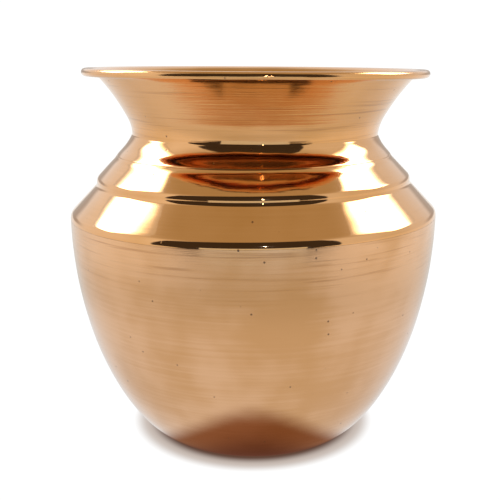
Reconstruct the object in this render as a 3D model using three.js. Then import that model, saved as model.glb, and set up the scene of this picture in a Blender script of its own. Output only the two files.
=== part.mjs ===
// Kalash pot: a spun sheet-metal water pot with a round belly, a stepped shoulder, a narrow neck and a
// flared mouth. An upper shell drops into a lower bowl, and the two are brazed together in a lap seam at
// the belly's widest line. The mouth's lip is curled down over a stiffening wire.
// Every piece is turned about the pot's axis. Millimetres, +Z up, the base rests on z = 0.
import * as THREE from "three";

// Sheet, wire and fits
const SHEET = 0.7; // wall of both shells
const WIRE_RADIUS = 0.4;
const CONTACT_GAP = 0.05; // left between pieces that touch on the real pot
const LAP_GAP = 0.3; // between the bowl's wall and the spigot that drops into it, filled by the braze
const LAP_DEPTH = 4; // reach of the spigot below the seam
const BRAZE_FILLET = 1.1; // drop of the filler's fillet below the spigot's edge

// Lower bowl
const BELLY_RADIUS = 57.15;
const BASE_RADIUS = 29.2;
const BOWL_HEIGHT = 70.3; // from the base to the seam
const BASE_SWEEP = 0.31; // how far the base's tangent reaches out, as a share of the overhang
const WALL_SWEEP = 0.6; // how far the upright tangent reaches down, as a share of the bowl's height

// Shoulder: a cone, a small upright step, a second cone and an incised ring. A run goes in towards the
// axis and a rise goes up.
const RIDGE_UPRIGHT = 0.2; // straight wall between the seam and the ridge's rounding
const RIDGE_ROUNDING = 2.9; // outside radius where the belly turns into the shoulder
const SHOULDER_RUN = 8.45;
const SHOULDER_RISE = 10.15;
const STEP_RUN = -0.2; // the step's wall leans out a little
const STEP_RISE = 1.7;
const BAND_RUN = 5.65;
const BAND_RISE = 5.8;
const EDGE_RUN = 0.95; // the steeper strip that carries the ring
const EDGE_RISE = 1.35;
const RING_DEPTH = 0.25;
const RING_WIDTH = 0.6;

// Neck and mouth, each part from the end of the one below it
const SHOULDER_TOP_RUN = 1.25; // last of the shoulder, from the ring's strip to the foot of the neck
const SHOULDER_TOP_RISE = 1.35;
const NECK_RUN = 2.65;
const NECK_RISE = 3.95;
const WAIST_RUN = 0.25; // the tight bend at the waist
const WAIST_RISE = 0.7;
const THROAT_RUN = -1.7;
const THROAT_RISE = 5.6;
const FLARE_RUN = -7.35;
const FLARE_RISE = 10.75;
const LIP_RUN = -4.35; // from the flare's head out to the wire
const LIP_RISE = 2.1;
const CURL_SWEEP = THREE.MathUtils.degToRad(245); // how far the sheet is wrapped round the wire

// How far the wall leans in from upright, in degrees: at the foot of the neck, at the lower and upper end
// of the waist's bend, at the throat, at the flare's head and where the sheet reaches the wire
const NECK_LEAN = 42;
const WAIST_FOOT_LEAN = 26;
const WAIST_LEAN = -3.3;
const THROAT_LEAN = -29;
const FLARE_LEAN = -41;
const LIP_LEAN = -76.4;
const FULLNESS = 0.36; // how far each curve follows its end headings, as a share of its length

// Facets
const TURNS = 48; // round the axis; a multiple of four keeps the pot's widths true
const BOWL_PIECES = 18;
const RIDGE_PIECES = 4;
const NECK_PIECES = 4;
const WAIST_PIECES = 2;
const THROAT_PIECES = 4;
const FLARE_PIECES = 4;
const LIP_PIECES = 4;
const CURL_PIECES = 10;
const WIRE_PIECES = 10;

// Places that follow from the sizes
const SPIGOT_RADIUS = BELLY_RADIUS - SHEET - LAP_GAP;
const SPIGOT_FOOT = BOWL_HEIGHT - LAP_DEPTH;
const SEAM_EDGE = place(BELLY_RADIUS, BOWL_HEIGHT + CONTACT_GAP);
const STEP_FOOT = place(BELLY_RADIUS - SHOULDER_RUN, BOWL_HEIGHT + SHOULDER_RISE);
const STEP_HEAD = inAndUp(STEP_FOOT, STEP_RUN, STEP_RISE);
const BAND_TOP = inAndUp(STEP_HEAD, BAND_RUN, BAND_RISE);
const EDGE = inAndUp(BAND_TOP, EDGE_RUN, EDGE_RISE);
const NECK_FOOT = inAndUp(EDGE, SHOULDER_TOP_RUN, SHOULDER_TOP_RISE);
const WAIST_FOOT = inAndUp(NECK_FOOT, NECK_RUN, NECK_RISE);
const WAIST = inAndUp(WAIST_FOOT, WAIST_RUN, WAIST_RISE);
const THROAT = inAndUp(WAIST, THROAT_RUN, THROAT_RISE);
const FLARE_HEAD = inAndUp(THROAT, FLARE_RUN, FLARE_RISE);
const WIRE_CENTRE = inAndUp(FLARE_HEAD, LIP_RUN, LIP_RISE);
const CURL_RADIUS = WIRE_RADIUS + CONTACT_GAP; // inside face of the curled sheet

const copperBowl = new THREE.MeshStandardMaterial({ color: 0xd8a273, roughness: 0.34, metalness: 1 });
const copperShell = new THREE.MeshStandardMaterial({ color: 0xd79a63, roughness: 0.16, metalness: 1 });
const wireMetal = new THREE.MeshStandardMaterial({ color: 0xb98a4e, roughness: 0.4, metalness: 1 });
const brazeMetal = new THREE.MeshStandardMaterial({ color: 0xcdb072, roughness: 0.5, metalness: 1 });

function place(radius, height) {
  return new THREE.Vector2(radius, height);
}

function inAndUp(from, run, rise) {
  return place(from.x - run, from.y + rise);
}

function heading(from, to) {
  return to.clone().sub(from).normalize();
}

// The upward heading of a wall that leans in from upright by this many degrees.
function leaning(degrees) {
  const angle = THREE.MathUtils.degToRad(degrees);
  return place(-Math.sin(angle), Math.cos(angle));
}

// A curve that leaves one place along one heading and arrives at another place along another heading.
function sweep(from, leaving, pull, to, arriving, endPull, pieces) {
  const start = from.clone().addScaledVector(leaving, pull);
  const end = to.clone().addScaledVector(arriving, -endPull);
  return new THREE.CubicBezierCurve(from, start, end, to).getPoints(pieces);
}

// An even curve between two places of the wall, from one lean to another.
function bend(from, lean, to, endLean, pieces) {
  const pull = FULLNESS * from.distanceTo(to);
  return sweep(from, leaning(lean), pull, to, leaning(endLean), pull, pieces);
}

// The outline moved sideways to the left of its direction of travel, which is the pot's inside.
function inset(outline, distance) {
  const last = outline.length - 1;
  return outline.map((spot, i) => {
    const before = heading(outline[Math.max(i - 1, 0)], outline[Math.max(i, 1)]);
    const after = heading(outline[Math.min(i, last - 1)], outline[Math.min(i + 1, last)]);
    const along = before.add(after).normalize();
    const reach = distance / along.dot(after);
    return place(spot.x - reach * along.y, spot.y + reach * along.x);
  });
}

// Turns an outline about the Z axis. The outline goes anticlockwise, with the axis on its left.
function turned(name, outline, material) {
  const geometry = new THREE.LatheGeometry(outline, TURNS);
  geometry.rotateX(Math.PI / 2);
  const mesh = new THREE.Mesh(geometry, material);
  mesh.name = name;
  return mesh;
}

// The bowl's outside from the edge of its flat base up to the seam.
function bowlOutside() {
  const edge = place(BASE_RADIUS, 0);
  const seam = place(BELLY_RADIUS, BOWL_HEIGHT);
  const basePull = BASE_SWEEP * (BELLY_RADIUS - BASE_RADIUS);
  const wallPull = WALL_SWEEP * BOWL_HEIGHT;
  return sweep(edge, place(1, 0), basePull, seam, place(0, 1), wallPull, BOWL_PIECES);
}

function lowerBowl() {
  const outside = [place(0, 0), ...bowlOutside()];
  const inside = inset(outside, SHEET).reverse();
  inside[0].y = BOWL_HEIGHT;
  return turned("lower_bowl", [...outside, ...inside], copperBowl);
}

// The rounded corner where the upright belly turns into the shoulder's cone.
function ridge() {
  const centre = place(BELLY_RADIUS - RIDGE_ROUNDING, SEAM_EDGE.y + RIDGE_UPRIGHT);
  const turn = tangentAngle(centre, RIDGE_ROUNDING, STEP_FOOT);
  const corner = new THREE.Path().absarc(centre.x, centre.y, RIDGE_ROUNDING, 0, turn);
  return corner.curves[0].getPoints(RIDGE_PIECES);
}

// The angle on a circle from which a tangent runs straight to a spot above it.
function tangentAngle(centre, radius, spot) {
  const aim = spot.clone().sub(centre);
  return aim.angle() - Math.acos(radius / aim.length());
}

// The incised ring: a V-shaped groove across the middle of its strip.
function ringGroove() {
  const slope = heading(BAND_TOP, EDGE);
  const middle = BAND_TOP.clone().lerp(EDGE, 0.5);
  const lower = middle.clone().addScaledVector(slope, -RING_WIDTH / 2);
  const upper = middle.clone().addScaledVector(slope, RING_WIDTH / 2);
  const bottom = middle.add(place(-slope.y, slope.x).multiplyScalar(RING_DEPTH));
  return [lower, bottom, upper];
}

// Neck, waist and flare, up to where the sheet first touches the wire.
function neckAndFlare() {
  const touch = WIRE_CENTRE.clone().addScaledVector(leaning(LIP_LEAN + 90), CURL_RADIUS);
  return [
    ...bend(NECK_FOOT, NECK_LEAN, WAIST_FOOT, WAIST_FOOT_LEAN, NECK_PIECES),
    ...bend(WAIST_FOOT, WAIST_FOOT_LEAN, WAIST, WAIST_LEAN, WAIST_PIECES).slice(1),
    ...bend(WAIST, WAIST_LEAN, THROAT, THROAT_LEAN, THROAT_PIECES).slice(1),
    ...bend(THROAT, THROAT_LEAN, FLARE_HEAD, FLARE_LEAN, FLARE_PIECES).slice(1),
    ...bend(FLARE_HEAD, FLARE_LEAN, touch, LIP_LEAN, LIP_PIECES).slice(1),
  ];
}

// The sheet's face that lies against the wire, wrapped over it from above.
function curl() {
  const start = THREE.MathUtils.degToRad(LIP_LEAN + 180);
  const { x, y } = WIRE_CENTRE;
  const wrap = new THREE.Path().absarc(x, y, CURL_RADIUS, start, start - CURL_SWEEP, true);
  return wrap.curves[0].getPoints(CURL_PIECES);
}

function upperShell() {
  const corner = ridge();
  const shoulder = [STEP_FOOT, STEP_HEAD, BAND_TOP];
  const mouth = [EDGE, ...neckAndFlare(), ...curl().slice(1)];
  const plain = [corner[RIDGE_PIECES], ...shoulder, ...mouth];
  const inside = inset(plain, SHEET).reverse();

  // The shoulder's inside runs down to meet the inside of the spigot.
  const coneFoot = inside.pop();
  const spigotInside = SPIGOT_RADIUS - SHEET;
  const slope = heading(coneFoot, inside[inside.length - 1]);
  const meeting = coneFoot.y + ((spigotInside - coneFoot.x) * slope.y) / slope.x;

  const spigot = [place(SPIGOT_RADIUS, SPIGOT_FOOT), place(SPIGOT_RADIUS, SEAM_EDGE.y), SEAM_EDGE];
  const outside = [...spigot, ...corner, ...shoulder, ...ringGroove(), ...mouth];
  const closing = [place(spigotInside, meeting), place(spigotInside, SPIGOT_FOOT), spigot[0].clone()];
  return turned("upper_shell", [...outside, ...inside, ...closing], copperShell);
}

function rimWire() {
  const geometry = new THREE.TorusGeometry(WIRE_CENTRE.x, WIRE_RADIUS, WIRE_PIECES, TURNS);
  const mesh = new THREE.Mesh(geometry, wireMetal);
  mesh.name = "rim_wire";
  mesh.position.z = WIRE_CENTRE.y;
  return mesh;
}

// The bowl's inside radius at a height.
function bowlInsideRadius(height) {
  const wall = inset(bowlOutside(), SHEET);
  const above = wall.findIndex((spot) => spot.y >= height);
  const lower = wall[above - 1];
  const upper = wall[above];
  const share = (height - lower.y) / (upper.y - lower.y);
  return THREE.MathUtils.lerp(lower.x, upper.x, share);
}

// The filler fills the lap between the shells and forms a fillet below the spigot's edge.
function seamBraze() {
  const top = BOWL_HEIGHT - CONTACT_GAP;
  const underEdge = SPIGOT_FOOT - CONTACT_GAP;
  const toe = underEdge - BRAZE_FILLET;
  const lapInside = SPIGOT_RADIUS + CONTACT_GAP;
  const outline = [
    place(bowlInsideRadius(toe) - CONTACT_GAP, toe),
    place(bowlInsideRadius(underEdge) - CONTACT_GAP, underEdge),
    place(bowlInsideRadius(top) - CONTACT_GAP, top),
    place(lapInside, top),
    place(lapInside, underEdge),
    place(SPIGOT_RADIUS - SHEET, underEdge),
  ];
  return turned("seam_braze", [...outline, outline[0].clone()], brazeMetal);
}

const pot = new THREE.Group();
pot.name = "kalash_pot";
pot.add(lowerBowl(), upperShell(), rimWire(), seamBraze());

export default pot;
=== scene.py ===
"""A kalash pot of reddish polished metal on a pale floor, in a light tent that is open at the front.

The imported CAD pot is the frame. Its pieces are replaced by finely turned ones, with the small rounded
creases, uneven hand finish and polishing lines that a spun pot has. The sizes are the CAD's, apart from a
finer and shallower incised ring and a ridge that starts to turn 0.05 mm lower.
"""

import math

import bpy
import numpy as np
from mathutils import Matrix


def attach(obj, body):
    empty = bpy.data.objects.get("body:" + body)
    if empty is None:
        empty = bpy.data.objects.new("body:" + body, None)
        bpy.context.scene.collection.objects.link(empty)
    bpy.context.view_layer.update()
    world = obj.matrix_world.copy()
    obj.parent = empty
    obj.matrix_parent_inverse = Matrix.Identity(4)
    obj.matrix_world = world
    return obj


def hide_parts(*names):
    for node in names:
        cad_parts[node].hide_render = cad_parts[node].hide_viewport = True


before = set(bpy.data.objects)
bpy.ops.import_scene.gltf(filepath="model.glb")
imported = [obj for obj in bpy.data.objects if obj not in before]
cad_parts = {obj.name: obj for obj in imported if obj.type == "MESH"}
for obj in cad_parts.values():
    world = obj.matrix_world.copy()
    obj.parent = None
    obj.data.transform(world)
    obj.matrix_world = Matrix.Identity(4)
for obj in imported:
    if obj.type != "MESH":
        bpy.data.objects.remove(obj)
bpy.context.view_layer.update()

MM = 0.001

# ---------------------------------------------------------------- sizes of the pot, in millimetres
SHEET = 0.7
WIRE_RADIUS = 0.4
CONTACT_GAP = 0.05
LAP_GAP = 0.3
LAP_DEPTH = 4.0
RUN_IN = 0.3  # height over which the shell's inside runs into its spigot
BRAZE_FILLET = 1.1
THINNEST_TOE = 0.02  # filler left at the foot of the fillet
ON_AXIS = 1e-6  # a point nearer to the axis than this is on it

BELLY_RADIUS = 57.15
BASE_RADIUS = 29.2
BOWL_HEIGHT = 70.3
BASE_SWEEP = 0.31  # reach of the curve's handle at the base, as a part of the overhang
WALL_SWEEP = 0.6  # reach of its handle at the ridge, as a part of the bowl's height

RIDGE_TOP = 70.5
RIDGE_ROUNDING = 2.9
STEP_FOOT = (48.7, 80.45)
STEP_FOOT_ROUNDING = 1.75
STEP_HEAD = (48.9, 82.15)
STEP_HEAD_ROUNDING = 2.1
BAND_TOP = (43.25, 87.95)
BAND_TOP_ROUNDING = 7.0
RING = (42.6, 88.9)
RING_DEPTH = 0.05
RING_WIDTH = 0.4
RING_ROUNDING = 0.2
EDGE = (42.3, 89.3)
EDGE_ROUNDING = 5.0
NECK_FOOT = (41.05, 90.65)
NECK_FOOT_SLOPE = math.radians(42)
WAIST_EDGE = (38.4, 94.6)
WAIST_EDGE_SLOPE = math.radians(26)
WAIST = (38.15, 95.3)
WAIST_SLOPE = math.radians(-3.3)
THROAT = (39.85, 100.9)
THROAT_SLOPE = math.radians(-29)
FLARE_HEAD = (47.2, 111.65)
FLARE_SLOPE = math.radians(-41)
WIRE_CENTRE = (51.55, 113.75)
LIP_SLOPE = math.radians(13.6)
CURL_SWEEP = math.radians(245)
FULLNESS = 0.36  # reach of a linking curve's handles, as a part of its chord

# ---------------------------------------------------------------- fineness of the turned meshes
SEGMENTS = 240
ARC_STEP = math.radians(5)
LONGEST_STEP = 0.9
LONGEST_BASE_STEP = 2.0
SHARP_ANGLE = math.radians(35)
BOWL_PIECES = 110
NECK_PIECES = 18
WAIST_PIECES = 12
THROAT_PIECES = 20
FLARE_PIECES = 20
LIP_PIECES = 16
CURL_PIECES = 26
WIRE_PIECES = 24
RIDGE_TRIES = 20

# ---------------------------------------------------------------- unevenness left by the hand work
NECK_SHIFT = 0.75  # the neck stands this far off the belly's axis, towards +X
SHIFT_START = 84.0
SHIFT_END = 100.0
RIDGE_TILT = (0.0087, -0.009)  # rise of the ridge's plane per mm towards +X and +Y
RIDGE_TILT_START = 30.0
RIDGE_TILT_TOP = 82.0
RIDGE_TILT_END = 96.0
RIM_TILT = -0.0058  # the rim is highest at -X and falls towards +X
RIM_TILT_START = 97.0
RIM_TILT_END = 111.0
RIM_MARGIN = 1.0  # widens the tilt's lever a little, which keeps the rim below the CAD's
WAVES_START = 1.0
WAVES_FULL = 25.0
WAVES = (  # depth in mm, waves round the pot, waves per mm up the pot, phase
    (0.045, 2, 0.000, 0.4),
    (0.030, 3, 0.012, 1.9),
    (0.016, 5, 0.031, 4.1),
    (0.009, 9, 0.060, 2.7),
    (0.005, 14, 0.110, 5.3),
)


# ================================================================ outlines
def bezier(start, leave, arrive, end, pieces):
    t = np.linspace(0, 1, pieces + 1)[:, None]
    start, leave, arrive, end = (np.array(p, float) for p in (start, leave, arrive, end))
    rest = 1 - t
    return rest**3 * start + 3 * rest**2 * t * leave + 3 * rest * t**2 * arrive + t**3 * end


def unit(vector):
    return vector / np.linalg.norm(vector)


def direction(angle):
    return np.array([math.cos(angle), math.sin(angle)])


def sweep(start, leaving, pull, end, arriving, end_pull, pieces):
    """A curve that leaves one point along one heading and reaches another along another heading."""
    start, end = np.array(start), np.array(end)
    return bezier(start, start + leaving * pull, end - arriving * end_pull, end, pieces)


def arc(centre, radius, start, end):
    pieces = max(2, round(abs(end - start) / ARC_STEP))
    return [np.array(centre) + radius * direction(a) for a in np.linspace(start, end, pieces + 1)]


def rounded(corners):
    """An outline through corners (radius, height, rounding), each corner replaced by an arc."""
    outline = [np.array(corners[0][:2])]
    for before, corner, after in zip(corners, corners[1:], corners[2:]):
        place = np.array(corner[:2])
        back = unit(np.array(before[:2]) - place)
        on = unit(np.array(after[:2]) - place)
        half = math.acos(np.clip(back @ on, -1, 1)) / 2
        centre = place + unit(back + on) * corner[2] / math.sin(half)
        reach = corner[2] / math.tan(half)
        first, last = place + back * reach - centre, place + on * reach - centre
        start = math.atan2(first[1], first[0])
        turn = math.atan2(first[0] * last[1] - first[1] * last[0], first @ last)
        outline += arc(centre, corner[2], start, start + turn)
    return outline + [np.array(corners[-1][:2])]


def filled(outline, longest=LONGEST_STEP):
    """The same outline with points added, so that no step is longer than the longest one."""
    points = [outline[0]]
    for start, end in zip(outline, outline[1:]):
        pieces = max(1, math.ceil(np.linalg.norm(end - start) / longest))
        points += [start + (end - start) * k / pieces for k in range(1, pieces + 1)]
    return np.array(points)


def inset(outline, distance):
    """The outline moved to the left of its direction of travel, which is the pot's inside."""
    steps = np.diff(outline, axis=0)
    headings = steps / np.linalg.norm(steps, axis=1)[:, None]
    before = np.vstack([headings[:1], headings])
    after = np.vstack([headings, headings[-1:]])
    along = before + after
    along /= np.linalg.norm(along, axis=1)[:, None]
    reach = distance / (along * after).sum(1)
    return outline + np.stack([-along[:, 1], along[:, 0]], 1) * reach[:, None]


def bowl_outline():
    base_pull = BASE_SWEEP * (BELLY_RADIUS - BASE_RADIUS)
    wall_pull = WALL_SWEEP * BOWL_HEIGHT
    base, ridge = (BASE_RADIUS, 0), (BELLY_RADIUS, BOWL_HEIGHT)
    return sweep(base, direction(0), base_pull, ridge, direction(math.pi / 2), wall_pull, BOWL_PIECES)


def heading(slope):
    """The upward direction of an outline whose face is turned up by this slope."""
    return np.array([-math.sin(slope), math.cos(slope)])


def linked(start, start_slope, end, end_slope, pieces):
    """A curve between two places on the outline, with a given slope at each."""
    reach = np.linalg.norm(np.array(end) - np.array(start)) * FULLNESS
    return sweep(start, heading(start_slope), reach, end, heading(end_slope), reach, pieces)


def ridge_corner():
    """Where the belly's upright and the cone above it would meet without the ridge's rounding."""
    rise = 0.0
    for _ in range(RIDGE_TRIES):
        slope = math.atan2(BELLY_RADIUS - STEP_FOOT[0], STEP_FOOT[1] - RIDGE_TOP - rise)
        rise = RIDGE_ROUNDING * math.tan(slope / 2)
    return BELLY_RADIUS, RIDGE_TOP + rise


def ring_corners():
    """The incised ring's two edges and its bottom."""
    slope = unit(np.array(EDGE) - np.array(BAND_TOP))
    inwards = np.array([-slope[1], slope[0]])
    half = slope * RING_WIDTH / 2
    moves = (-half, inwards * RING_DEPTH, half)
    return [(*(np.array(RING) + move), RING_ROUNDING) for move in moves]


def shoulder_corners(with_ring):
    """Ridge, cone, step, band and incised ring, as corners with a rounding each."""
    return [
        (*ridge_corner(), RIDGE_ROUNDING),
        (*STEP_FOOT, STEP_FOOT_ROUNDING),
        (*STEP_HEAD, STEP_HEAD_ROUNDING),
        (*BAND_TOP, BAND_TOP_ROUNDING),
        *(ring_corners() if with_ring else []),
        (*EDGE, EDGE_ROUNDING),
        NECK_FOOT,
    ]


def mouth_outline():
    """Neck, waist and flare, up to where the lip touches its wire."""
    clearance = WIRE_RADIUS + CONTACT_GAP
    touch = np.array(WIRE_CENTRE) + direction(LIP_SLOPE + math.pi / 2) * clearance
    lip = LIP_SLOPE - math.pi / 2
    return np.vstack(
        [
            linked(NECK_FOOT, NECK_FOOT_SLOPE, WAIST_EDGE, WAIST_EDGE_SLOPE, NECK_PIECES)[1:],
            linked(WAIST_EDGE, WAIST_EDGE_SLOPE, WAIST, WAIST_SLOPE, WAIST_PIECES)[1:],
            linked(WAIST, WAIST_SLOPE, THROAT, THROAT_SLOPE, THROAT_PIECES)[1:],
            linked(THROAT, THROAT_SLOPE, FLARE_HEAD, FLARE_SLOPE, FLARE_PIECES)[1:],
            linked(FLARE_HEAD, FLARE_SLOPE, touch, lip, LIP_PIECES)[1:],
        ]
    )


def curl_outline():
    """The lip's curl down and round its wire."""
    start = LIP_SLOPE + math.pi / 2
    angles = np.linspace(start, start - CURL_SWEEP, CURL_PIECES + 1)[1:]
    clearance = WIRE_RADIUS + CONTACT_GAP
    return np.array([np.array(WIRE_CENTRE) + clearance * direction(a) for a in angles])


def bowl_section():
    base = filled([np.array([0.0, 0.0]), np.array([BASE_RADIUS, 0.0])], LONGEST_BASE_STEP)
    outside = np.vstack([base, filled(list(bowl_outline()))[1:]])
    inside = inset(outside, SHEET)
    inside[-1, 1] = BOWL_HEIGHT
    inside[0, 0] = 0.0
    return np.vstack([outside, inside[::-1]])


def shell_section():
    foot = (BELLY_RADIUS, BOWL_HEIGHT + CONTACT_GAP)
    mouth = list(mouth_outline()) + list(curl_outline())
    outside = filled(rounded([foot, *shoulder_corners(True)]) + mouth)
    inside = inset(filled(rounded([foot, *shoulder_corners(False)]) + mouth), SHEET)
    spigot_outside = BELLY_RADIUS - SHEET - LAP_GAP
    spigot_inside = spigot_outside - SHEET
    spigot_foot = BOWL_HEIGHT - LAP_DEPTH
    clear = (inside[:, 0] < spigot_inside) & (inside[:, 1] > BOWL_HEIGHT)
    inside = inside[np.argmax(clear) :][::-1]
    turn_in = np.array([spigot_inside, inside[-1][1] - RUN_IN])
    run_in = filled([inside[-1], turn_in, np.array([spigot_inside, spigot_foot])])[1:]
    spigot = filled(
        [
            np.array([spigot_inside, spigot_foot]),
            np.array([spigot_outside, spigot_foot]),
            np.array([spigot_outside, BOWL_HEIGHT + CONTACT_GAP]),
            outside[0],
        ]
    )[1:-1]
    return np.vstack([outside, inside, run_in, spigot])


def wire_section():
    angles = np.linspace(0, 2 * math.pi, WIRE_PIECES + 1)[:-1]
    return np.array([np.array(WIRE_CENTRE) + WIRE_RADIUS * direction(a) for a in angles])


def braze_section():
    wall = inset(filled(list(bowl_outline())), SHEET)
    top = BOWL_HEIGHT - CONTACT_GAP
    edge = BOWL_HEIGHT - LAP_DEPTH - CONTACT_GAP
    toe = edge - BRAZE_FILLET
    spigot = BELLY_RADIUS - SHEET - LAP_GAP
    outer = [np.array([np.interp(z, wall[:, 1], wall[:, 0]) - CONTACT_GAP, z]) for z in (toe, edge, top)]
    inner = [np.array([spigot + CONTACT_GAP, z]) for z in (top, edge)]
    hollow = arc((spigot - SHEET, toe), BRAZE_FILLET, math.pi / 2, 0)
    hollow = [p for p in hollow if p[0] < outer[0][0] - THINNEST_TOE]
    return np.array(outer + inner + hollow)


# ================================================================ turning
def smoothstep(value, low, high):
    t = np.clip((value - low) / (high - low), 0, 1)
    return t * t * (3 - 2 * t)


def swell(angle, height):
    """How far the waves pull the surface in, in millimetres, which is never outwards."""
    total = np.zeros_like(angle)
    for depth, around, up, phase in WAVES:
        total += depth * (np.sin(around * angle + 2 * math.pi * up * height + phase) - 1)
    return total * smoothstep(height, WAVES_START, WAVES_FULL)


def uneven(points):
    """Moves points, in millimetres, by the pot's hand-made shift, tilts and shallow waves."""
    x, y, z = points.T
    radius = np.maximum(np.hypot(x, y), ON_AXIS)
    scale = 1 + swell(np.arctan2(y, x), z) / radius
    ridge = smoothstep(z, RIDGE_TILT_START, BOWL_HEIGHT)
    ridge = ridge * (1 - smoothstep(z, RIDGE_TILT_TOP, RIDGE_TILT_END))
    rim = smoothstep(z, RIM_TILT_START, RIM_TILT_END)
    shift = NECK_SHIFT * smoothstep(z, SHIFT_START, SHIFT_END)
    drop = RIM_TILT * (x + WIRE_CENTRE[0] + WIRE_RADIUS + RIM_MARGIN)
    rise = ridge * (RIDGE_TILT[0] * x + RIDGE_TILT[1] * y) + rim * drop
    return np.stack([x * scale + shift, y * scale, z + rise], 1)


def turned_mesh(name, section):
    """A closed section turned about the Z axis. It keeps each point's length along the section."""
    on_axis = section[:, 0] < ON_AXIS
    angles = np.arange(SEGMENTS) * 2 * math.pi / SEGMENTS
    steps = np.linalg.norm(np.diff(section, axis=0), axis=1)
    lengths = np.concatenate([[0], np.cumsum(steps)])
    points, along, rings = [], [], []
    for (radius, height), length, pole in zip(section, lengths, on_axis):
        count = 1 if pole else SEGMENTS
        rings.append(np.arange(count) + len(along))
        points += [(radius * math.cos(a), radius * math.sin(a), height) for a in angles[:count]]
        along += [length] * count
    pairs = list(zip(rings, rings[1:]))
    if not on_axis.any():
        pairs.append((rings[-1], rings[0]))
    faces = [face for low, high in pairs for face in band(low, high)]
    mesh = bpy.data.meshes.new(name)
    mesh.from_pydata((uneven(np.array(points)) * MM).tolist(), [], faces)
    mesh.attributes.new("along", "FLOAT", "POINT").data.foreach_set("value", along)
    mesh.shade_smooth()
    mesh.set_sharp_from_angle(angle=SHARP_ANGLE)
    return mesh


def turned(name, section, material, node):
    """A turned piece that stands for a CAD node."""
    mesh = turned_mesh(name, section)
    mesh.materials.append(material)
    piece = bpy.data.objects.new(name, mesh)
    bpy.context.scene.collection.objects.link(piece)
    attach(piece, "root")
    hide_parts(node)
    return piece


def band(low, high):
    """The faces between two rings of vertices, either of which may be a single pole."""
    if len(low) == 1 and len(high) == 1:
        return []
    count = max(len(low), len(high))
    turn = [(k, (k + 1) % count) for k in range(count)]
    if len(low) == 1:
        return [(low[0], high[b], high[a]) for a, b in turn]
    if len(high) == 1:
        return [(low[a], low[b], high[0]) for a, b in turn]
    return [(low[a], low[b], high[b], high[a]) for a, b in turn]


# ================================================================ materials
class Nodes:
    """A short way to write a material's node tree."""

    def __init__(self, owner):
        self.tree = owner.node_tree
        self.tree.nodes.clear()

    def add(self, kind, inputs=None, **settings):
        node = self.tree.nodes.new(kind)
        for key, value in settings.items():
            setattr(node, key, value)
        for key, value in (inputs or {}).items():
            if isinstance(value, bpy.types.NodeSocket):
                self.tree.links.new(value, node.inputs[key])
            else:
                node.inputs[key].default_value = value
        return node

    def math(self, operation, a, b=0.0, c=0.0, clamp=False):
        node = self.add("ShaderNodeMath", {0: a, 1: b, 2: c}, operation=operation, use_clamp=clamp)
        return node.outputs[0]

    def ramp(self, value, low, high, out_low=0.0, out_high=1.0):
        node = self.add(
            "ShaderNodeMapRange",
            {"Value": value, "From Min": low, "From Max": high, "To Min": out_low, "To Max": out_high},
            interpolation_type="SMOOTHSTEP",
        )
        return node.outputs["Result"]

    def noise(self, vector, scale, detail=2.0, roughness=0.5):
        inputs = {"Vector": vector, "Scale": scale, "Detail": detail, "Roughness": roughness}
        return self.add("ShaderNodeTexNoise", inputs).outputs["Fac"]

    def mix(self, factor, a, b):
        node = self.add("ShaderNodeMix", data_type="RGBA")
        for index, value in ((0, factor), (6, a), (7, b)):
            if isinstance(value, bpy.types.NodeSocket):
                self.tree.links.new(value, node.inputs[index])
            else:
                node.inputs[index].default_value = value
        return node.outputs[2]


def new_material(name):
    material = bpy.data.materials.new(name)
    material.use_nodes = True
    return material, Nodes(material)


def polishing_lines(nodes, across, around):
    """Noise drawn out round the pot: fine across the lines, long around them."""
    place = nodes.add("ShaderNodeTexCoord").outputs["Object"]
    parts = nodes.add("ShaderNodeSeparateXYZ", {0: place})
    along = nodes.add("ShaderNodeAttribute", attribute_name="along").outputs["Fac"]
    return nodes.add(
        "ShaderNodeCombineXYZ",
        {
            0: nodes.math("MULTIPLY", parts.outputs[0], around / MM),
            1: nodes.math("MULTIPLY", parts.outputs[1], around / MM),
            2: nodes.math("MULTIPLY", along, across),
        },
    ).outputs[0]


def specks(nodes, per_mm, size):
    """Small dark pits scattered unevenly: 1 inside a pit, 0 elsewhere."""
    place = nodes.add("ShaderNodeTexCoord").outputs["Object"]
    cells = nodes.add("ShaderNodeTexVoronoi", {"Vector": place, "Scale": per_mm / MM})
    pit = nodes.ramp(cells.outputs["Distance"], size, size * PIT_CORE)
    number = nodes.add("ShaderNodeSeparateColor", {0: cells.outputs["Color"]}).outputs[0]
    return nodes.math("MULTIPLY", pit, nodes.math("GREATER_THAN", number, EMPTY_CELLS))


# Noise per mm, across the polishing lines and then round the pot.
FINE_LINES = (2.4, 0.05)
STREAKS = (1.1, 0.022)
BROAD_LINES = (0.22, 0.02)

# Noise per mm, the same in every direction.
CLOUDS = 0.03
DENTS = 0.07
PITS = 0.30

# Pits, in parts of their cells.
PIT_SIZE = 0.12
PIT_CORE = 0.4  # part of a pit's size that is wholly dark
EMPTY_CELLS = 0.75  # share of the cells that hold no pit

# Marks on the colour. Starts and ends are values of the noise between which a mark comes in.
PIT_COLOUR = (0.12, 0.05, 0.02, 1)
# Painted shade: the dark reflection in the polishing streaks, painted into the colour where the finish is
# satin.
STREAK_SHADE_COLOUR = (0.36, 0.15, 0.05, 1)
STREAK_SHADE_START = 0.56
STREAK_SHADE_END = 0.70
STREAK_SHADE_STRENGTH = 0.45
STAIN_START = 0.50
STAIN_END = 0.78
STREAK_IN_STAIN = 0.25
RAGGED_EDGE = 8.0  # mm of height over which the streaks spread the satin finish's edge

# Roughness, as the part that the noise adds to a least part.
FINE_SPREAD = 0.4
FINE_LEAST = 0.8
BROAD_SPREAD = 0.5
BROAD_LEAST = 0.75
PIT_ROUGHNESS = 0.3

# Relief, in units of a metal's line_height, apart from the dents, which are in mm.
SMOOTH_RELIEF = 0.10  # what a mirror finish keeps of the lines
STREAK_RELIEF = 2.0
FINE_RELIEF = 0.7
PIT_RELIEF = 1.5
DENT_DEPTH = 0.14

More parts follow.
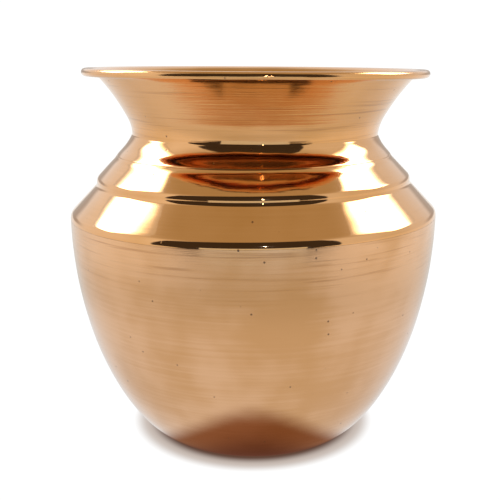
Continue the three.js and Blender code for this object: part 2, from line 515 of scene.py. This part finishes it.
# The thin clear film.
FILM_ROUGHNESS = 0.12
FILM_IOR = 1.5


def marked_tint(nodes, colour, stain, streak, cloud, brushed, pitted, pits):
    """The metal's colour with clouds of tarnish, a painted dark reflection along the polishing streaks
    where it is satin, and dark pits.
    """
    stained = nodes.math("MULTIPLY_ADD", streak, STREAK_IN_STAIN, cloud)
    tint = nodes.mix(nodes.ramp(stained, STAIN_START, STAIN_END), colour, stain)
    # painted dark reflection along the polishing streaks, only where the finish is satin
    streak_shade = nodes.ramp(streak, STREAK_SHADE_START, STREAK_SHADE_END)
    painted_streak_shade = nodes.math("MULTIPLY", streak_shade, nodes.ramp(brushed, 0, 1, 0.0, STREAK_SHADE_STRENGTH))
    tint = nodes.mix(painted_streak_shade, tint, STREAK_SHADE_COLOUR)
    return nodes.mix(nodes.math("MULTIPLY", pitted, pits), tint, PIT_COLOUR)


def uneven_roughness(nodes, mirror, satin, brushed, fine, broad, pitted):
    """Roughness from mirror to satin, varied by fine and broad lines and raised in the pits."""
    rough = nodes.ramp(brushed, 0, 1, mirror, satin)
    rough = nodes.math("MULTIPLY", rough, nodes.math("MULTIPLY_ADD", fine, FINE_SPREAD, FINE_LEAST))
    rough = nodes.math("MULTIPLY", rough, nodes.math("MULTIPLY_ADD", broad, BROAD_SPREAD, BROAD_LEAST))
    return nodes.math("MULTIPLY_ADD", pitted, PIT_ROUGHNESS, rough, clamp=True)


def line_relief(nodes, brushed, streak, fine, pitted, line_height):
    """Height of the polishing lines, pits and shallow dents, in units of line_height."""
    lines = nodes.math("MULTIPLY_ADD", streak, STREAK_RELIEF, nodes.math("MULTIPLY", fine, FINE_RELIEF))
    relief = nodes.math("MULTIPLY", lines, nodes.ramp(brushed, 0, 1, SMOOTH_RELIEF, 1.0))
    relief = nodes.math("SUBTRACT", relief, nodes.math("MULTIPLY", pitted, PIT_RELIEF))
    place = nodes.add("ShaderNodeTexCoord").outputs["Object"]
    dents = nodes.noise(place, DENTS / MM, detail=2.0, roughness=0.5)
    return nodes.math("MULTIPLY_ADD", dents, DENT_DEPTH / line_height, relief)


def polished_metal(name, colour, stain, mirror, satin, start, end, line_height, pits, film):
    """Spun metal that goes from a mirror finish to a satin one over a range of heights.

    The roughness is `mirror` below the height `start` and `satin` above the height `end`, both in mm.
    `line_height` is the relief's unit in mm, `pits` is how dark the pits are, and `film` is the weight of
    the thin clear film.
    """
    material, nodes = new_material(name)
    fine = nodes.noise(polishing_lines(nodes, *FINE_LINES), 1.0, detail=2.0, roughness=0.6)
    streak = nodes.noise(polishing_lines(nodes, *STREAKS), 1.0, detail=3.0, roughness=0.6)
    broad = nodes.noise(polishing_lines(nodes, *BROAD_LINES), 1.0, detail=3.0, roughness=0.55)
    place = nodes.add("ShaderNodeTexCoord").outputs["Object"]
    height = nodes.add("ShaderNodeSeparateXYZ", {0: place}).outputs[2]
    cloud = nodes.noise(place, CLOUDS / MM, detail=3.0, roughness=0.55)
    pitted = specks(nodes, PITS, PIT_SIZE)
    ragged = nodes.math("MULTIPLY_ADD", nodes.math("SUBTRACT", streak, 0.5), RAGGED_EDGE * MM, height)
    brushed = nodes.ramp(ragged, start * MM, end * MM)
    relief = line_relief(nodes, brushed, streak, fine, pitted, line_height)
    bump = nodes.add("ShaderNodeBump", {"Strength": 1.0, "Distance": line_height * MM, "Height": relief})
    shader = nodes.add(
        "ShaderNodeBsdfPrincipled",
        {
            "Base Color": marked_tint(nodes, colour, stain, streak, cloud, brushed, pitted, pits),
            "Metallic": 1.0,
            "Roughness": uneven_roughness(nodes, mirror, satin, brushed, fine, broad, pitted),
            "Normal": bump.outputs[0],
            "Coat Weight": film,
            "Coat Roughness": FILM_ROUGHNESS,
            "Coat IOR": FILM_IOR,
        },
    )
    nodes.add("ShaderNodeOutputMaterial", {"Surface": shader.outputs[0]})
    return material


bowl_metal = polished_metal(
    "bowl_metal",
    colour=(0.82, 0.47, 0.24, 1),
    stain=(0.68, 0.35, 0.13, 1),
    mirror=0.16,
    satin=0.20,
    start=52,
    end=70,
    line_height=0.018,
    pits=0.8,
    film=0.8,
)
shell_metal = polished_metal(
    "shell_metal",
    colour=(0.82, 0.43, 0.17, 1),
    stain=(0.74, 0.37, 0.12, 1),
    mirror=0.05,
    satin=0.15,
    start=95,
    end=100,
    line_height=0.020,
    pits=0.8,
    film=0.7,
)
wire_metal = polished_metal(
    "wire_metal",
    colour=(0.62, 0.42, 0.22, 1),
    stain=(0.5, 0.3, 0.15, 1),
    mirror=0.35,
    satin=0.35,
    start=0,
    end=1,
    line_height=0.01,
    pits=0.3,
    film=0.0,
)
braze_metal = polished_metal(
    "braze_metal",
    colour=(0.72, 0.56, 0.30, 1),
    stain=(0.5, 0.36, 0.2, 1),
    mirror=0.45,
    satin=0.45,
    start=0,
    end=1,
    line_height=0.03,
    pits=0.6,
    film=0.0,
)

turned("bowl", bowl_section(), bowl_metal, "lower_bowl")
turned("shell", shell_section(), shell_metal, "upper_shell")
turned("wire", wire_section(), wire_metal, "rim_wire")
turned("braze", braze_section(), braze_metal, "seam_braze")


# ================================================================ camera
CAMERA_PLACE = (-0.00096, -0.25229, 0.11827)
CAMERA_PITCH = math.radians(13.62)
CAMERA_LENS = 57.63  # mm, as the sensor's width is
SENSOR_WIDTH = 36
NEAREST_SEEN = 0.01

camera_data = bpy.data.cameras.new("camera")
camera_data.lens = CAMERA_LENS
camera_data.sensor_width = SENSOR_WIDTH
camera_data.clip_start = NEAREST_SEEN
camera = bpy.data.objects.new("camera", camera_data)
camera.location = CAMERA_PLACE
camera.rotation_euler = (math.pi / 2 - CAMERA_PITCH, 0, 0)
bpy.context.scene.collection.objects.link(camera)
bpy.context.scene.camera = camera


# ================================================================ light tent
def stage_plane(name, corners, material, seen=True):
    mesh = bpy.data.meshes.new(name)
    mesh.from_pydata(corners, [], [tuple(range(len(corners)))])
    mesh.materials.append(material)
    plane = bpy.data.objects.new(name, mesh)
    plane.visible_camera = seen
    bpy.context.scene.collection.objects.link(plane)
    return plane


def glow(name, colour, strength):
    material, nodes = new_material(name)
    light = nodes.add("ShaderNodeEmission", {"Color": (*colour, 1), "Strength": strength})
    nodes.add("ShaderNodeOutputMaterial", {"Surface": light.outputs[0]})
    return material


# The floors. The camera sees one, and the metal reflects the other, which has a front edge and lies a
# little lower, so that the two aren't in one plane.
FLOOR_FRONT = -0.30
FLOOR_REACH = 3.0
REFLECTED_FLOOR = -0.0005
WHITE = (1.05, 1.05, 1.05, 1)

# Painted contact shadow on the floor that the camera sees, over ranges of distance from the axis, in
# metres.
CONTACT_CORE = (0.031, 0.0358)
CONTACT_EDGE = (0.0352, 0.041)
CONTACT_DARK = (0.12, 0.06, 0.04, 1)
CONTACT_PALE = (0.58, 0.50, 0.45, 1)

# Painted light and shade on the floor that the metal reflects.
LIT_FADE = (0.10, 0.18)
LIT_NEAR = (0.80, 0.80, 0.80, 1)
LIT_FAR = (0.66, 0.65, 0.62, 1)
ASIDE_FADE = (0.06, 0.30)
LIT_ASIDE = (0.92, 0.90, 0.86, 1)
FRONT_FORWARD = 0.015
FRONT_NARROW = 1.4
FRONT_CORE = (0.018, 0.034)
FRONT_EDGE = (0.034, 0.046)
FRONT_DARK = (0.14, 0.06, 0.04, 1)
FRONT_PALE = (0.28, 0.14, 0.08, 1)
UNDER_EDGE = (0.030, 0.035)
UNDER_DARK = (0.15, 0.06, 0.04, 1)


def from_axis(nodes, forward=0.0, narrow=1.0):
    """Distance from a point on the floor, `forward` in front of the axis, with x stretched by `narrow`."""
    place = nodes.add("ShaderNodeTexCoord").outputs["Object"]
    inputs = {0: place, 1: (narrow, 1, 1), 2: (0, forward, 0)}
    moved = nodes.add("ShaderNodeVectorMath", inputs, operation="MULTIPLY_ADD").outputs[0]
    return nodes.add("ShaderNodeVectorMath", {0: moved}, operation="LENGTH").outputs["Value"]


def paper_glow(nodes, colour):
    light = nodes.add("ShaderNodeEmission", {"Color": colour})
    nodes.add("ShaderNodeOutputMaterial", {"Surface": light.outputs[0]})


def painted_shadow_paper():
    """Bright paper with a narrow brown contact shadow painted where the pot's base curves up from it."""
    material, nodes = new_material("painted_shadow_paper")
    distance = from_axis(nodes)
    # painted contact shadow: dark by the base and paling outwards, drawn by distance from the axis, not
    # cast
    shade = nodes.mix(nodes.ramp(distance, *CONTACT_CORE), CONTACT_DARK, CONTACT_PALE)
    paper_glow(nodes, nodes.mix(nodes.ramp(distance, *CONTACT_EDGE), shade, WHITE))
    return material


def painted_light_and_shade_paper():
    """Paper with painted light, brighter near the pot and at the sides, a painted reddish shadow in front
    of the base and painted shade under it.
    """
    material, nodes = new_material("painted_light_and_shade_paper")
    distance = from_axis(nodes)
    in_front = from_axis(nodes, FRONT_FORWARD, FRONT_NARROW)
    # painted light: brighter near the pot and towards the sides
    lit = nodes.mix(nodes.ramp(distance, *LIT_FADE), LIT_NEAR, LIT_FAR)
    place = nodes.add("ShaderNodeTexCoord").outputs["Object"]
    aside = nodes.math("ABSOLUTE", nodes.add("ShaderNodeSeparateXYZ", {0: place}).outputs[0])
    lit = nodes.mix(nodes.ramp(aside, *ASIDE_FADE), lit, LIT_ASIDE)
    # painted reddish shadow in front of the base, drawn by distance, not cast
    shade = nodes.mix(nodes.ramp(in_front, *FRONT_CORE), FRONT_DARK, FRONT_PALE)
    colour = nodes.mix(nodes.ramp(in_front, *FRONT_EDGE), shade, lit)
    # painted shade under the base
    paper_glow(nodes, nodes.mix(nodes.ramp(distance, *UNDER_EDGE), UNDER_DARK, colour))
    return material


def floor_corners(front, height):
    """A floor that reaches far back and to both sides of the pot, from its front edge."""
    return [
        (-FLOOR_REACH, front, height),
        (FLOOR_REACH, front, height),
        (FLOOR_REACH, FLOOR_REACH, height),
        (-FLOOR_REACH, FLOOR_REACH, height),
    ]


seen_floor = stage_plane("floor", floor_corners(-FLOOR_REACH, 0), painted_shadow_paper())
seen_floor.visible_glossy = False
seen_floor.visible_diffuse = False
seen_floor.visible_shadow = False
stage_plane("reflected_floor", floor_corners(FLOOR_FRONT, REFLECTED_FLOOR), painted_light_and_shade_paper(), seen=False)


# The low flap at the floor's front edge, and the small flash beside the camera.
FLAP_HALF_WIDTH = 0.165
FLAP_HEIGHT = 0.055
FLAP_COLOUR = (0.82, 0.92, 1.0)
FLAP_STRENGTH = 0.9
FLASH_X = 0.027
FLASH_FRONT = -0.25
FLASH_HALF_WIDTH = 0.003
FLASH_BOTTOM = 0.125
FLASH_TOP = 0.131
FLASH_COLOUR = (1, 1, 1)
FLASH_STRENGTH = 90.0


def upright_card(name, x, front, half_width, bottom, top, material):
    """A card that stands facing the pot, seen only in the metal."""
    corners = [(x - half_width, front, bottom), (x + half_width, front, bottom)]
    corners += [(x + half_width, front, top), (x - half_width, front, top)]
    return stage_plane(name, corners, material, seen=False)


flap_light = glow("front_flap_light", FLAP_COLOUR, FLAP_STRENGTH)
upright_card("front_flap", 0, FLOOR_FRONT, FLAP_HALF_WIDTH, 0, FLAP_HEIGHT, flap_light)
flash_light = glow("flash_light", FLASH_COLOUR, FLASH_STRENGTH)
upright_card("flash", FLASH_X, FLASH_FRONT, FLASH_HALF_WIDTH, FLASH_BOTTOM, FLASH_TOP, flash_light)


# The soft panels, a little behind the pot on each side.
PANEL_DISTANCE = 0.6
PANEL_ELEVATION = math.radians(38)
PANEL_AIM = 0.08  # height of the point that the panels face
PANEL_HEIGHT = 0.32
PANEL_STRENGTH = 12.0
PANEL_EDGE = 0.75  # light left at a panel's edge
PANEL_FALLOFF = 1.6
PANEL_CORE_WIDTH = 1 / 10  # how far the full light reaches from the middle, as a part of the width
PANEL_CORE_HEIGHT = 1 / 3
LEFT_AZIMUTH = math.radians(-113)
LEFT_WIDTH = 0.36
RIGHT_AZIMUTH = math.radians(108)
RIGHT_WIDTH = 0.38


def soft_glow(name, width):
    """Light that fades towards the edges of a panel."""
    material, nodes = new_material(name)
    place = nodes.add("ShaderNodeTexCoord").outputs["Object"]
    parts = nodes.add("ShaderNodeSeparateXYZ", {0: place}).outputs
    across = nodes.ramp(nodes.math("ABSOLUTE", parts[0]), width / 2, width * PANEL_CORE_WIDTH)
    core = PANEL_HEIGHT * PANEL_CORE_HEIGHT
    upright = nodes.ramp(nodes.math("ABSOLUTE", parts[1]), PANEL_HEIGHT / 2, core)
    fade = nodes.math("MULTIPLY", nodes.math("POWER", across, PANEL_FALLOFF), upright)
    power = nodes.math("MULTIPLY_ADD", fade, PANEL_STRENGTH, PANEL_EDGE)
    light = nodes.add("ShaderNodeEmission", {"Color": (1, 1, 1, 1), "Strength": power})
    nodes.add("ShaderNodeOutputMaterial", {"Surface": light.outputs[0]})
    return material


def softbox(name, azimuth, width):
    """A glowing panel that faces the pot's middle."""
    level = math.cos(PANEL_ELEVATION)
    towards = np.array(
        [math.sin(azimuth) * level, -math.cos(azimuth) * level, math.sin(PANEL_ELEVATION)]
    )
    side = unit(np.cross(towards, (0, 0, 1)))
    up = np.cross(side, towards)
    corners = [(width / 2 * a, PANEL_HEIGHT / 2 * b, 0) for a, b in ((-1, -1), (1, -1), (1, 1), (-1, 1))]
    panel = stage_plane(name, corners, soft_glow(name + "_light", width), seen=False)
    turn = Matrix([side, up, -towards]).transposed().to_4x4()
    place = towards * PANEL_DISTANCE + np.array([0, 0, PANEL_AIM])
    panel.matrix_world = Matrix.Translation(place) @ turn
    return panel


softbox("left_softbox", LEFT_AZIMUTH, LEFT_WIDTH)
softbox("right_softbox", RIGHT_AZIMUTH, RIGHT_WIDTH)


# The tent as seen from the pot. Each pair of numbers is a range over which one colour gives way to the
# next. The opening's are slopes, sideways or upwards per step forward, and the others are parts of a
# unit direction.
OPENING_LEFT = (-1.95, -1.8)
OPENING_RIGHT = (1.33, 1.23)
OPENING_TOP = (1.95, 1.8)
LEAST_FORWARD = 0.02
LEAST_DIVISOR = 1e-4
OPENING_COLOUR = (0.055, 0.045, 0.035, 1)
TOP_FADE = (0.60, 0.88)
TOP_COLOUR = (0.50, 0.42, 0.28, 1)
BACK_FADE = (0.55, 0.8)
BACK_BAND = (0.2, 0.1)
BACK_COLOUR = (0.50, 0.46, 0.42, 1)
SIDE_FADE = (-0.2, 0.4)
LEFT_WALL = (0.94, 0.94, 0.94, 1)
RIGHT_WALL = (0.82, 0.82, 0.82, 1)


def opening_mask(nodes, x, y, z):
    """1 towards the tent's dark front opening, 0 elsewhere."""
    forward = nodes.math("MULTIPLY", y, -1.0)
    divisor = nodes.math("MAXIMUM", forward, LEAST_DIVISOR)
    sideways = nodes.math("DIVIDE", x, divisor)
    upwards = nodes.math("DIVIDE", z, divisor)
    left, right = nodes.ramp(sideways, *OPENING_LEFT), nodes.ramp(sideways, *OPENING_RIGHT)
    opening = nodes.math("MULTIPLY", left, right)
    opening = nodes.math("MULTIPLY", opening, nodes.ramp(upwards, *OPENING_TOP))
    return nodes.math("MULTIPLY", opening, nodes.math("GREATER_THAN", forward, LEAST_FORWARD))


def tent():
    """White side walls, a duller back, a warm top and a dark front opening, but white to the camera."""
    world = bpy.data.worlds.new("tent")
    world.use_nodes = True
    nodes = Nodes(world)
    towards = nodes.add("ShaderNodeTexCoord").outputs["Generated"]
    x, y, z = nodes.add("ShaderNodeSeparateXYZ", {0: towards}).outputs
    level = nodes.ramp(nodes.math("ABSOLUTE", z), *BACK_BAND)
    back = nodes.math("MULTIPLY", nodes.ramp(y, *BACK_FADE), level)
    walls = nodes.mix(nodes.ramp(x, *SIDE_FADE), LEFT_WALL, RIGHT_WALL)
    walls = nodes.mix(back, walls, BACK_COLOUR)
    walls = nodes.mix(nodes.ramp(z, *TOP_FADE), walls, TOP_COLOUR)
    walls = nodes.mix(opening_mask(nodes, x, y, z), walls, OPENING_COLOUR)
    camera_ray = nodes.add("ShaderNodeLightPath").outputs["Is Camera Ray"]
    colour = nodes.mix(camera_ray, walls, WHITE)
    background = nodes.add("ShaderNodeBackground", {"Color": colour, "Strength": 1.0})
    nodes.add("ShaderNodeOutputWorld", {"Surface": background.outputs[0]})
    bpy.context.scene.world = world


tent()
bpy.context.scene.view_settings.view_transform = "Standard"
